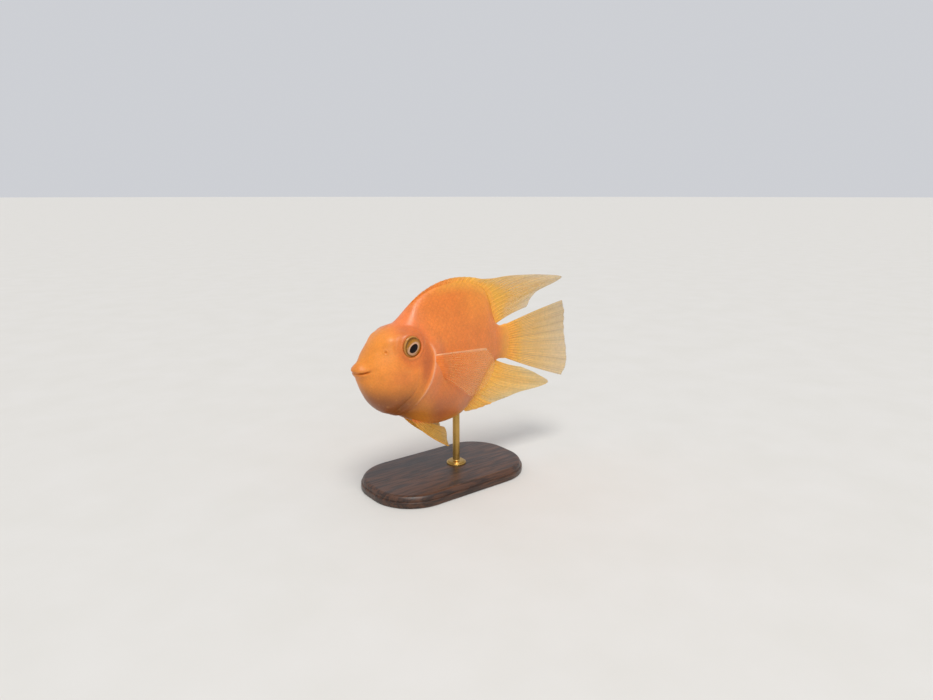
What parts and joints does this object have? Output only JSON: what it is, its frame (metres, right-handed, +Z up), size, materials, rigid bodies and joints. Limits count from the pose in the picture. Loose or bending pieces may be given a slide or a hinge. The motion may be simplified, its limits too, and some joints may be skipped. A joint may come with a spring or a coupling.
{
  "type": "blood parrot cichlid model",
  "caption": "Life-size still model of a deep-bodied orange blood parrot cichlid with spread fins, held by a rod above a flat display base.",
  "frame": {"origin": "centre of the flat underside of the display base, on the surface that the stand rests on", "axes": "+Z up; the fish's long axis lies along X, 92 mm up, with its snout towards -X, its tail fin towards +X and its left side towards -Y"},
  "size_m": [0.1911, 0.0703, 0.1419],
  "materials": {
    "skin": "moist fish skin, orange with a yellow face and a redder nape",
    "fin": "thin rayed fin, golden at the root and pale and see-through at the edge",
    "eye": "glossy eye, gold and silver iris round a black pupil",
    "walnut": "dark satin wood",
    "stand_brass": "satin brass"
  },
  "bodies": {
    "root": {"head": "skin", "lower_jaw": "skin", "gill_cover_left": "skin", "gill_cover_right": "skin", "trunk": "skin", "tail_root": "skin", "dorsal_fin": "fin", "anal_fin": "fin", "caudal_fin": "fin", "pelvic_fin_left": "fin", "pelvic_fin_right": "fin", "pectoral_fin_left": "fin", "pectoral_fin_right": "fin", "eye_left": "eye", "eye_right": "eye", "stand_base": "walnut", "stand_rod": "stand_brass"}
  },
  "joints": []
}
